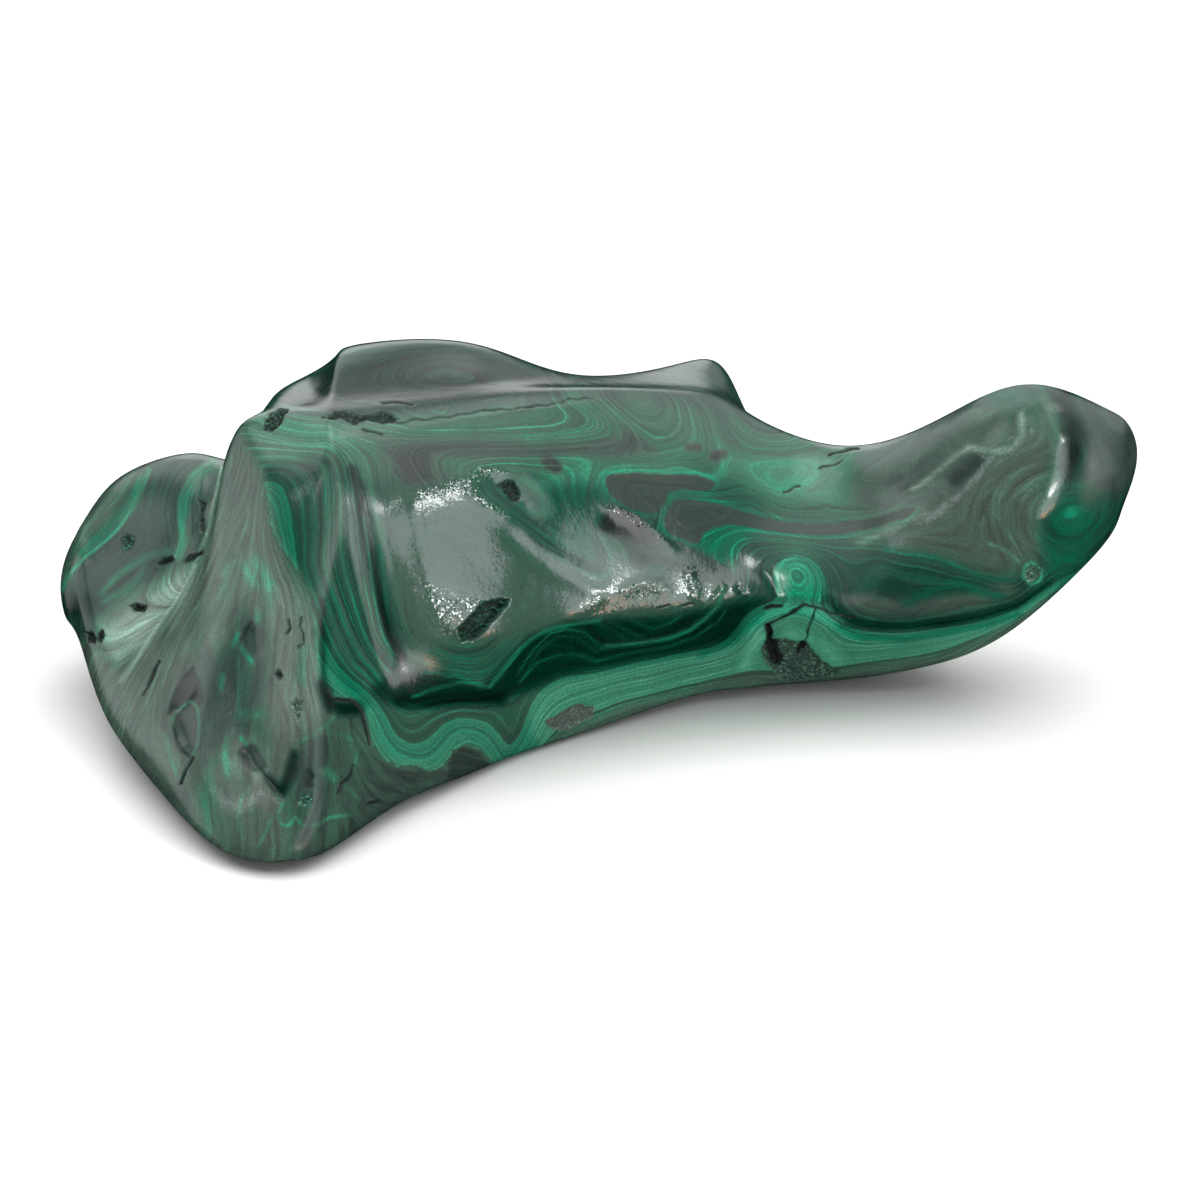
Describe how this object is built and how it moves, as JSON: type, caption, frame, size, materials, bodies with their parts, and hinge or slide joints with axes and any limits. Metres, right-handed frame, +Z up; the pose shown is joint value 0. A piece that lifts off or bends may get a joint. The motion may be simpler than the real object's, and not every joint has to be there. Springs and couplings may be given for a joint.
{
  "type": "polished malachite freeform",
  "caption": "Polished free-form malachite stone with a flat-ground base, a thick banded body, a low lobe at its left and an arm that rises to a blunt tip at its right.",
  "frame": {"origin": "centre of the bounding box on the plane the stone stands on", "axes": "+X along the stone's length, from the low lobe to the rising arm; +Y from the front, which the picture shows, to the back; +Z up"},
  "size_m": [0.121, 0.085, 0.042],
  "materials": {
    "malachite": "banded green stone, ground and polished to a gloss"
  },
  "bodies": {
    "root": {"malachite": "malachite"}
  },
  "joints": []
}
